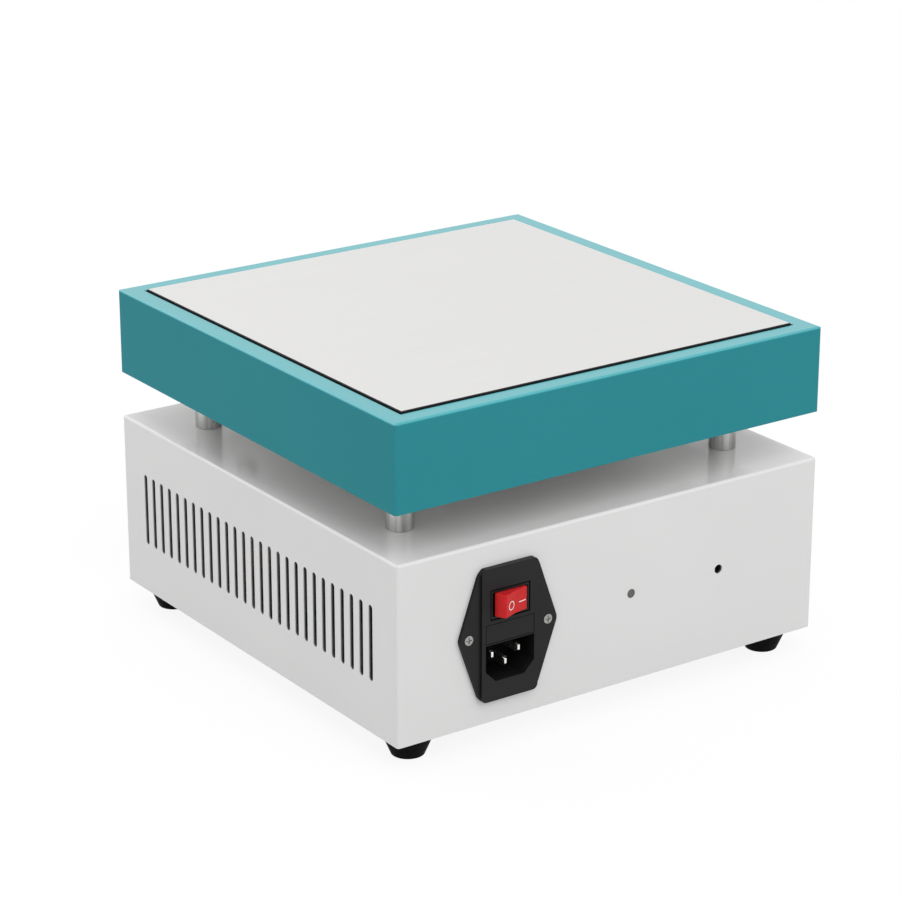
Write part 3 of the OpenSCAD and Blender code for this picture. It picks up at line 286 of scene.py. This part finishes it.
def steel():
    """Zinc-plated steel of screws, nuts and spacers."""
    made = Finish("plated steel", Metallic=1.0)
    made.drive("Base Color", made.shades((0.62, 0.62, 0.61), 0.06, 1.5 * MM))
    made.drive("Roughness", made.spread(made.noise(0.6 * MM), 0.26, 0.36))
    made.bump(made.noise(0.3 * MM), 0.004 * MM)
    return made.material


def pillar_metal():
    """Drawn steel whose base colour has bright and dull streaks along the pillar, painted reflections of lamps."""
    made = Finish("drawn steel", Metallic=1.0)
    streaks = made.noise(0.3 * MM, detail=3.0, stretch=(1, 1, 200))
    # Bright and dull streaks in the base colour: painted reflections
    made.drive("Base Color", made.shades((0.54, 0.54, 0.53), 0.3, 2.6 * MM, detail=1.0, stretch=(1, 1, 60)))
    made.drive("Roughness", made.spread(streaks, 0.24, 0.36))
    made.bump(streaks, 0.004 * MM)
    return made.material


def dull_steel(name, grey):
    """Duller steel of the screws that show in the rear wall."""
    made = Finish(name, Metallic=1.0)
    made.drive("Base Color", made.shades((grey, grey * 0.99, grey * 0.96), 0.3, 0.7 * MM, detail=3.0))
    made.drive("Roughness", made.spread(made.noise(0.6 * MM), 0.32, 0.46))
    made.bump(made.noise(0.5 * MM), 0.02 * MM)
    return made.material


def inlet_screw_steel():
    return dull_steel("dull plated steel", 0.36)


def relay_screw_steel():
    return dull_steel("oiled steel", 0.14)


def rubber():
    made = Finish("black rubber", Specular_IOR_Level=0.03)
    made.drive("Base Color", made.shades((0.006, 0.006, 0.0062), 0.25, 2 * MM))
    made.drive("Roughness", made.spread(made.noise(1.5 * MM), 0.55, 0.72))
    made.bump(made.noise(0.5 * MM, detail=3.0), 0.02 * MM)
    return made.material


# Gloss of the black plastic, gloss deep in the inlet's socket, and the depths between which it falls
BLACK_SPECULAR = 0.22
SOCKET_SPECULAR = 0.04
SOCKET_FALL = (1.2 * MM, 4.0 * MM)


def moulded_black(name):
    """Moulded black plastic with a fine spark-eroded grain, in the making."""
    made = Finish(name, Specular_IOR_Level=BLACK_SPECULAR)
    made.drive("Base Color", made.shades((0.008, 0.008, 0.0082), 0.1, 6 * MM))
    made.drive("Roughness", made.spread(made.noise(3 * MM), 0.42, 0.5))
    made.bump(made.noise(0.22 * MM, detail=2.0), 0.01 * MM)
    return made


def black_plastic():
    return moulded_black("black moulded plastic").material


def inlet_plastic():
    """The black plastic of the mains inlet, with less sheen deep in its socket."""
    made = moulded_black("black inlet plastic")
    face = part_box("inlet_housing")[1].y
    depth = made.maths("SUBTRACT", face, made.axis("Y"))
    made.drive("Specular IOR Level", made.spread(depth, BLACK_SPECULAR, SOCKET_SPECULAR, *SOCKET_FALL))
    return made.material


def moulded_red(name):
    """Moulded red plastic, in the making."""
    made = Finish(name, Specular_IOR_Level=0.12)
    made.drive("Base Color", made.shades((0.6, 0.02, 0.022), 0.05, 3 * MM))
    made.drive("Roughness", made.spread(made.noise(2 * MM), 0.26, 0.34))
    made.bump(made.noise(0.6 * MM), 0.005 * MM)
    return made


def red_plastic():
    return moulded_red("red moulded plastic").material


def rocker_plastic():
    """The red plastic of the rocker, with its pivot pins painted near black, a painted shade for the gap they show
    in.
    """
    made = moulded_red("red rocker plastic")
    low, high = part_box("rocker")
    off = made.maths("ABSOLUTE", made.maths("SUBTRACT", made.axis("Z"), (low.z + high.z) / 2))
    # Pivot pins painted near black: painted shade for the gap they show in
    pin_shade = made.maths("GREATER_THAN", off, ROCKER_HALF_HEIGHT)
    plain = made.shader.inputs["Base Color"].links[0].from_socket
    made.drive("Base Color", made.blend(pin_shade, plain, made.shades((0.01, 0.008, 0.007), 0.2, 1 * MM)))
    return made.material


def grey_plastic():
    made = Finish("grey moulded plastic")
    made.drive("Base Color", made.shades((0.5, 0.5, 0.51), 0.04, 4 * MM))
    made.drive("Roughness", made.spread(made.noise(2 * MM), 0.36, 0.46))
    made.bump(made.noise(0.3 * MM), 0.008 * MM)
    return made.material


def brass():
    """Nickel-plated contact brass, a little warm."""
    made = Finish("plated brass", Metallic=1.0)
    made.drive("Base Color", made.shades((0.88, 0.86, 0.82), 0.04, 1.2 * MM))
    made.drive("Roughness", made.spread(made.noise(0.5 * MM), 0.22, 0.32))
    made.bump(made.noise(0.2 * MM, stretch=(1, 20, 1)), 0.003 * MM)
    return made.material


def smoked_window():
    made = Finish("smoked red window", Transmission_Weight=0.97, IOR=1.49)
    made.drive("Base Color", made.shades((0.42, 0.05, 0.055), 0.05, 12 * MM))
    made.drive("Roughness", made.spread(made.noise(8 * MM), 0.04, 0.08))
    return made.material


def clear_glass():
    made = Finish("fuse glass", Transmission_Weight=1.0, IOR=1.5)
    made.drive("Base Color", made.shades((0.9, 0.94, 0.95), 0.02, 3 * MM))
    made.drive("Roughness", made.spread(made.noise(2 * MM), 0.02, 0.06))
    return made.material


def board():
    """Green solder mask with slightly lighter copper areas under it."""
    made = Finish("solder mask")
    areas = made.spread(made.noise(5 * MM, detail=0.0), 0.0, 1.0, 0.48, 0.52)
    made.drive("Base Color", made.blend(areas, (0.01, 0.075, 0.035), (0.02, 0.14, 0.06)))
    made.drive("Roughness", made.spread(made.noise(2 * MM), 0.28, 0.4))
    made.bump(areas, 0.02 * MM)
    return made.material


def mica():
    made = Finish("pressed mica")
    made.drive("Base Color", made.shades((0.35, 0.24, 0.12), 0.3, 3 * MM, detail=4.0))
    made.drive("Roughness", made.spread(made.noise(1.5 * MM), 0.3, 0.5))
    made.bump(made.noise(1.0 * MM), 0.02 * MM)
    return made.material


def fibre():
    made = Finish("ceramic fibre felt", Sheen_Weight=0.2)
    strands = made.noise(0.5 * MM, detail=5.0, stretch=(6, 2, 1))
    made.drive("Base Color", made.shades((0.72, 0.68, 0.58), 0.08, 2 * MM, detail=4.0))
    made.drive("Roughness", made.spread(strands, 0.8, 0.95))
    made.bump(strands, 0.3 * MM)
    return made.material


def porcelain():
    made = Finish("glazed white")
    made.drive("Base Color", made.shades((0.8, 0.79, 0.77), 0.03, 4 * MM))
    made.drive("Roughness", made.spread(made.noise(2 * MM), 0.14, 0.24))
    made.bump(made.noise(1.5 * MM), 0.01 * MM)
    return made.material


def lead_sleeve():
    made = Finish("woven lead sleeve")
    weave = made.noise(0.3 * MM, detail=2.0, stretch=(2, 2, 1))
    made.drive("Base Color", made.shades((0.55, 0.52, 0.46), 0.12, 0.5 * MM))
    made.drive("Roughness", made.spread(weave, 0.55, 0.75))
    made.bump(weave, 0.05 * MM)
    return made.material


def copper():
    made = Finish("enamelled copper winding", Metallic=0.8)
    turns = made.noise(0.3 * MM, detail=1.0, stretch=(1, 30, 1))
    made.drive("Base Color", made.shades((0.3, 0.11, 0.045), 0.2, 0.4 * MM, stretch=(1, 30, 1)))
    made.drive("Roughness", made.spread(turns, 0.25, 0.4))
    made.bump(turns, 0.1 * MM)
    return made.material


def white_ink():
    made = Finish("white pad print")
    made.drive("Base Color", made.shades((0.8, 0.78, 0.76), 0.03, 1 * MM))
    made.drive("Roughness", made.spread(made.noise(0.5 * MM), 0.4, 0.55))
    return made.material


def unlit_segment():
    made = Finish("unlit display segment", Specular_IOR_Level=0.3)
    made.drive("Base Color", made.shades((0.5, 0.49, 0.48), 0.05, 2 * MM))
    made.drive("Roughness", made.spread(made.noise(1 * MM), 0.4, 0.5))
    return made.material


FINISHES = {
    "case_paint": case_paint, "head_paint": head_paint, "plate_metal": plate_metal, "steel": steel,
    "pillar_metal": pillar_metal, "rubber": rubber, "black_plastic": black_plastic,
    "red_plastic": red_plastic, "grey_plastic": grey_plastic, "brass": brass,
    "smoked_window": smoked_window, "clear_glass": clear_glass, "board": board, "mica": mica,
    "fibre": fibre, "porcelain": porcelain, "lead_sleeve": lead_sleeve, "copper": copper,
}


# Nodes whose finish differs a little from the rest of their slot
OWN_FINISHES = {
    "inlet_screws": inlet_screw_steel, "relay_screw": relay_screw_steel, "inlet_housing": inlet_plastic,
    "rocker": rocker_plastic,
}


def dress_nodes():
    """Gives every CAD node its own finish, or else the finish of its slot."""
    made = {slot: maker() for slot, maker in FINISHES.items()}
    for part in frame["record"]["subparts"]:
        node = frame["nodes"][part["node"]]
        own = OWN_FINISHES.get(part["node"])
        node.data.materials.clear()
        node.data.materials.append(own() if own else made[part["material_slot"]])


# Softened edges of the moulded and machined nodes, in metres, and how they are made
SOFT_EDGES = {
    "inlet_housing": 0.5 * MM, "fuse_drawer": 0.25 * MM, "switch_body": 0.2 * MM, "rocker": 0.35 * MM,
    "panel_frame": 0.5 * MM, "display_window": 0.2 * MM, "pillars": 0.3 * MM, "mains_blades": 0.3 * MM,
    "earth_blade": 0.3 * MM,
}
EDGE_ANGLE = math.radians(30)
EDGE_STEPS = 3
FLAT_ANGLE = math.radians(1)
WELD_REACH = 0.002 * MM


def soften(node, width):
    """Rounds the sharp edges of a node as it is shown."""
    shown = frame["nodes"][node]
    weld = shown.modifiers.new("weld", "WELD")
    weld.merge_threshold = WELD_REACH
    flatten = shown.modifiers.new("flatten", "DECIMATE")
    flatten.decimate_type = "DISSOLVE"
    flatten.angle_limit = FLAT_ANGLE
    bevel = shown.modifiers.new("edges", "BEVEL")
    bevel.width = width
    bevel.segments = EDGE_STEPS
    bevel.limit_method = "ANGLE"
    bevel.angle_limit = EDGE_ANGLE
    bevel.use_clamp_overlap = True
    shown.modifiers.new("shade", "WEIGHTED_NORMAL")


# Rubber feet

def foot_middles():
    """Middle of each CAD foot, one in each corner of the case."""
    corners = {}
    for vertex in frame["nodes"]["feet"].data.vertices:
        corners.setdefault((vertex.co.x > 0, vertex.co.y > 0), []).append(vertex.co)
    middles = []
    for corner in sorted(corners):
        across = [point.x for point in corners[corner]]
        along = [point.y for point in corners[corner]]
        middles.append(((min(across) + max(across)) / 2, (min(along) + max(along)) / 2))
    return middles


def foot_outline(height, points=6):
    """Radius and height round half a foot: screw recess, rounded tip, spreading flank and bore."""
    tip = []
    for i in range(points + 1):
        t = -math.pi / 2 + (math.pi / 2 - FOOT_SPREAD) * i / points
        tip.append((FOOT_TIP_R - FOOT_ROUNDING * (1 - math.cos(t)), FOOT_ROUNDING * (1 + math.sin(t))))
    flank_r, flank_z = tip[-1]
    top_r = flank_r + (height - flank_z) * math.tan(FOOT_SPREAD)
    recess = [(FOOT_BORE_R, FOOT_RECESS_DEPTH), (FOOT_RECESS_R, FOOT_RECESS_DEPTH), (FOOT_RECESS_R, 0)]
    return recess + tip + [(top_r, height), (FOOT_BORE_R, height)]


def rubber_feet():
    """Four turned feet in place of the CAD feet."""
    outline = foot_outline(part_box("feet")[1].z)
    mesh = bmesh.new()
    for x, y in foot_middles():
        rings = []
        for i in range(FOOT_SIDES):
            t = 2 * math.pi * i / FOOT_SIDES
            rings.append([mesh.verts.new((x + r * math.cos(t), y + r * math.sin(t), z)) for r, z in outline])
        for i, ring in enumerate(rings):
            following = rings[(i + 1) % FOOT_SIDES]
            for j in range(len(outline)):
                k = (j + 1) % len(outline)
                mesh.faces.new((ring[j], following[j], following[k], ring[k]))
    bmesh.ops.recalc_face_normals(mesh, faces=mesh.faces)
    data = bpy.data.meshes.new("rubber_feet")
    mesh.to_mesh(data)
    mesh.free()
    data.shade_smooth()
    data.set_sharp_from_angle(angle=EDGE_ANGLE)
    data.materials.append(frame["nodes"]["feet"].data.materials[0])
    piece = bpy.data.objects.new("rubber_feet", data)
    bpy.context.scene.collection.objects.link(piece)
    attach(piece, "housing")
    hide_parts("feet")


# Flat printed marks

def print_mark(name, outer, place, body, material, inner=None, thickness=MARK_THICKNESS):
    """A thin print drawn in the plane of the first two axes of place, raised along the third."""
    mesh = bmesh.new()
    loops = [outer] if inner is None else [outer, inner]
    rings = [[[mesh.verts.new((x, y, z)) for x, y in loop] for z in (0, thickness)] for loop in loops]
    count = len(outer)
    for low, high in rings:
        for i in range(count):
            j = (i + 1) % count
            mesh.faces.new((low[i], low[j], high[j], high[i]))
    for level in (0, 1):
        if inner is None:
            mesh.faces.new(rings[0][level])
            continue
        for i in range(count):
            j = (i + 1) % count
            mesh.faces.new((rings[0][level][i], rings[0][level][j], rings[1][level][j], rings[1][level][i]))
    bmesh.ops.recalc_face_normals(mesh, faces=mesh.faces)
    mesh.transform(place)
    data = bpy.data.meshes.new(name)
    mesh.to_mesh(data)
    mesh.free()
    data.materials.append(material)
    piece = bpy.data.objects.new(name, data)
    bpy.context.scene.collection.objects.link(piece)
    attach(piece, body)


def circle(radius, points=48):
    return [(radius * math.cos(t), radius * math.sin(t))
            for t in (2 * math.pi * i / points for i in range(points))]


def bar(length, width, points=12):
    """A bar with round ends along the first axis."""
    reach = (length - width) / 2
    outline = []
    for side, start in ((1, -math.pi / 2), (-1, math.pi / 2)):
        for i in range(points + 1):
            t = start + math.pi * i / points
            outline.append((side * reach + width / 2 * math.cos(t), width / 2 * math.sin(t)))
    return outline


def joint_place(name):
    for joint in frame["joints"]:
        if joint["name"] == name:
            return Vector(joint["pos_m"])
    raise KeyError(name)


def rocker_face(side, along):
    """Place on one half of the rocker's top: first axis towards -X, second up, third outwards."""
    pivot = joint_place("rocker_tilt")
    facing = Matrix(((-1, 0, 0), (0, 0, 1), (0, 1, 0))).to_4x4()
    turn = Matrix.Rotation(ROCKER_TILT, 4, "Z")
    dip = Matrix.Rotation(side * ROCKER_DIP, 4, "Z")
    rise = Matrix.Translation((0, ROCKER_RISE, 0))
    slide = Matrix.Translation((side * along, 0, -MARK_DROP))
    return Matrix.Translation(pivot) @ turn @ rise @ dip @ slide @ facing


def rocker_marks(ink):
    """A ring on the raised half for off, and a bar on the other half for on."""
    print_mark("rocker_mark_off", circle(RING_R), rocker_face(1, RING_ALONG), "rocker", ink,
               inner=circle(RING_R - MARK_STROKE))
    print_mark("rocker_mark_on", bar(BAR_LENGTH, MARK_STROKE), rocker_face(-1, BAR_ALONG), "rocker",
               ink)


def front_face(node):
    """Place on the front of a node: first axis to the right of someone in front of it, second up."""
    low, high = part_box(node)
    middle = (low + high) / 2
    facing = Matrix(((1, 0, 0), (0, 0, -1), (0, 1, 0))).to_4x4()
    return Matrix.Translation((middle.x, low.y, middle.z)) @ facing


def segment_places():
    """Middle, and whether it lies flat, of the seven bars of one digit."""
    half_w = DIGIT_WIDTH / 2
    quarter_h = DIGIT_HEIGHT / 4
    flat = [(0, level * 2 * quarter_h, True) for level in (-1, 0, 1)]
    upright = [(sx * half_w, sz * quarter_h, False) for sx in (-1, 1) for sz in (-1, 1)]
    return flat + upright


def display_digits(material):
    """Four unlit seven-segment digits behind the window."""
    face = front_face("display_module")
    for digit in range(DIGITS):
        across = (digit - (DIGITS - 1) / 2) * DIGIT_PITCH
        slanted = Matrix(((1, math.tan(DIGIT_SLANT), 0, across), (0, 1, 0, 0), (0, 0, 1, 0), (0, 0, 0, 1)))
        for index, (x, y, flat) in enumerate(segment_places()):
            length = (DIGIT_WIDTH if flat else DIGIT_HEIGHT / 2) - SEGMENT_GAP
            turn = Matrix.Identity(4) if flat else Matrix.Rotation(math.pi / 2, 4, "Z")
            place = face @ slanted @ Matrix.Translation((x, y, 0)) @ turn
            print_mark(f"digit_{digit + 1}_segment_{index + 1}", bar(length, DIGIT_STROKE, points=4), place,
                       "housing", material)


def triangle(size, up):
    height = size * math.sqrt(3) / 2
    tip = height * 2 / 3 * up
    foot = -height / 3 * up
    return [(-size / 2, foot), (size / 2, foot), (0, tip)]


def button_symbols(ink):
    """A ring on the set button, and arrows on the other two."""
    r = SYMBOL_SIZE / 2
    print_mark("symbol_set", circle(r), front_face("button_set"), "button_set", ink,
               inner=circle(r - MARK_STROKE))
    dark = black_plastic()
    print_mark("symbol_down", triangle(SYMBOL_SIZE, -1), front_face("button_down"), "button_down",
               dark)
    print_mark("symbol_up", triangle(SYMBOL_SIZE, 1), front_face("button_up"), "button_up",
               dark)


# Studio

def seen_rays(tree):
    """1 for rays that show a surface as it is: straight from the camera, by gloss or through glass."""
    path = tree.nodes.new("ShaderNodeLightPath")
    total = path.outputs["Is Camera Ray"]
    for label in ("Is Glossy Ray", "Is Transmission Ray"):
        made = tree.nodes.new("ShaderNodeMath")
        made.operation = "MAXIMUM"
        tree.links.new(total, made.inputs[0])
        tree.links.new(path.outputs[label], made.inputs[1])
        total = made.outputs[0]
    return total


def studio_world():
    """White for what the camera and gloss see, and a fill for the object that is stronger from the sides."""
    world = bpy.data.worlds.new("studio")
    bpy.context.scene.world = world
    world.use_nodes = True
    tree = world.node_tree
    background = tree.nodes["Background"]
    background.inputs["Color"].default_value = (1, 1, 1, 1)
    facing = tree.nodes.new("ShaderNodeSeparateXYZ")
    tree.links.new(tree.nodes.new("ShaderNodeTexCoord").outputs["Generated"], facing.inputs[0])
    fill = tree.nodes.new("ShaderNodeMapRange")
    tree.links.new(facing.outputs["Z"], fill.inputs["Value"])
    fill.inputs["To Min"].default_value = FILL_HORIZON
    fill.inputs["To Max"].default_value = FILL_ZENITH
    level = tree.nodes.new("ShaderNodeMapRange")
    tree.links.new(seen_rays(tree), level.inputs["Value"])
    tree.links.new(fill.outputs[0], level.inputs["To Min"])
    level.inputs["To Max"].default_value = 1.0
    tree.links.new(level.outputs[0], background.inputs["Strength"])


def floor_finish():
    """White seamless paper: full white where it is seen, with a faint share of its real shade."""
    material = bpy.data.materials.new("white floor")
    material.use_nodes = True
    tree = material.node_tree
    tree.nodes.remove(tree.nodes["Principled BSDF"])
    seen = seen_rays(tree)
    grey = tree.nodes.new("ShaderNodeMapRange")
    tree.links.new(seen, grey.inputs["Value"])
    grey.inputs["To Min"].default_value = FLOOR_BOUNCE
    grey.inputs["To Max"].default_value = FLOOR_SEEN
    paper = tree.nodes.new("ShaderNodeBsdfDiffuse")
    tree.links.new(grey.outputs[0], paper.inputs["Color"])
    white = tree.nodes.new("ShaderNodeEmission")
    share = tree.nodes.new("ShaderNodeMath")
    share.operation = "MULTIPLY"
    tree.links.new(seen, share.inputs[0])
    share.inputs[1].default_value = 1 - SHADOW_SHARE
    mixed = tree.nodes.new("ShaderNodeMixShader")
    tree.links.new(share.outputs[0], mixed.inputs["Fac"])
    tree.links.new(paper.outputs[0], mixed.inputs[1])
    tree.links.new(white.outputs[0], mixed.inputs[2])
    tree.links.new(mixed.outputs[0], tree.nodes["Material Output"].inputs["Surface"])
    return material


def studio_floor():
    half = FLOOR_SIZE / 2
    corners = [(-half, -half, 0), (half, -half, 0), (half, half, 0), (-half, half, 0)]
    data = bpy.data.meshes.new("floor")
    data.from_pydata(corners, [], [(0, 1, 2, 3)])
    data.materials.append(floor_finish())
    floor = bpy.data.objects.new("floor", data)
    bpy.context.scene.collection.objects.link(floor)


def softbox(name, azimuth, elevation, distance, size, power):
    """A square soft lamp that looks at the middle of the object."""
    data = bpy.data.lights.new(name, "AREA")
    data.shape = "SQUARE"
    data.size = size
    data.energy = power
    lamp = bpy.data.objects.new(name, data)
    back = direction(azimuth, elevation)
    lamp.location = CAMERA_TARGET + back * distance
    lamp.rotation_mode = "QUATERNION"
    lamp.rotation_quaternion = back.to_track_quat("Z", "Y")
    bpy.context.scene.collection.objects.link(lamp)


def photo_camera():
    data = bpy.data.cameras.new("camera")
    data.lens = CAMERA_LENS_MM
    data.sensor_width = CAMERA_SENSOR_MM
    camera = bpy.data.objects.new("camera", data)
    back = direction(CAMERA_AZIMUTH, CAMERA_ELEVATION)
    camera.location = CAMERA_TARGET + back * CAMERA_DISTANCE
    camera.rotation_mode = "QUATERNION"
    camera.rotation_quaternion = back.to_track_quat("Z", "Y")
    bpy.context.scene.collection.objects.link(camera)
    bpy.context.scene.camera = camera


photo_camera()
dress_nodes()
for node, width in SOFT_EDGES.items():
    soften(node, width)
rubber_feet()
rocker_marks(white_ink())
display_digits(unlit_segment())
button_symbols(white_ink())
studio_world()
studio_floor()
softbox("key", azimuth=172, elevation=50, distance=3.5, size=2.4, power=38)
softbox("back", azimuth=8, elevation=28, distance=3.5, size=2.6, power=22)
softbox("top", azimuth=0, elevation=85, distance=3.0, size=2.0, power=10)

bpy.context.scene.view_settings.view_transform = "Standard"
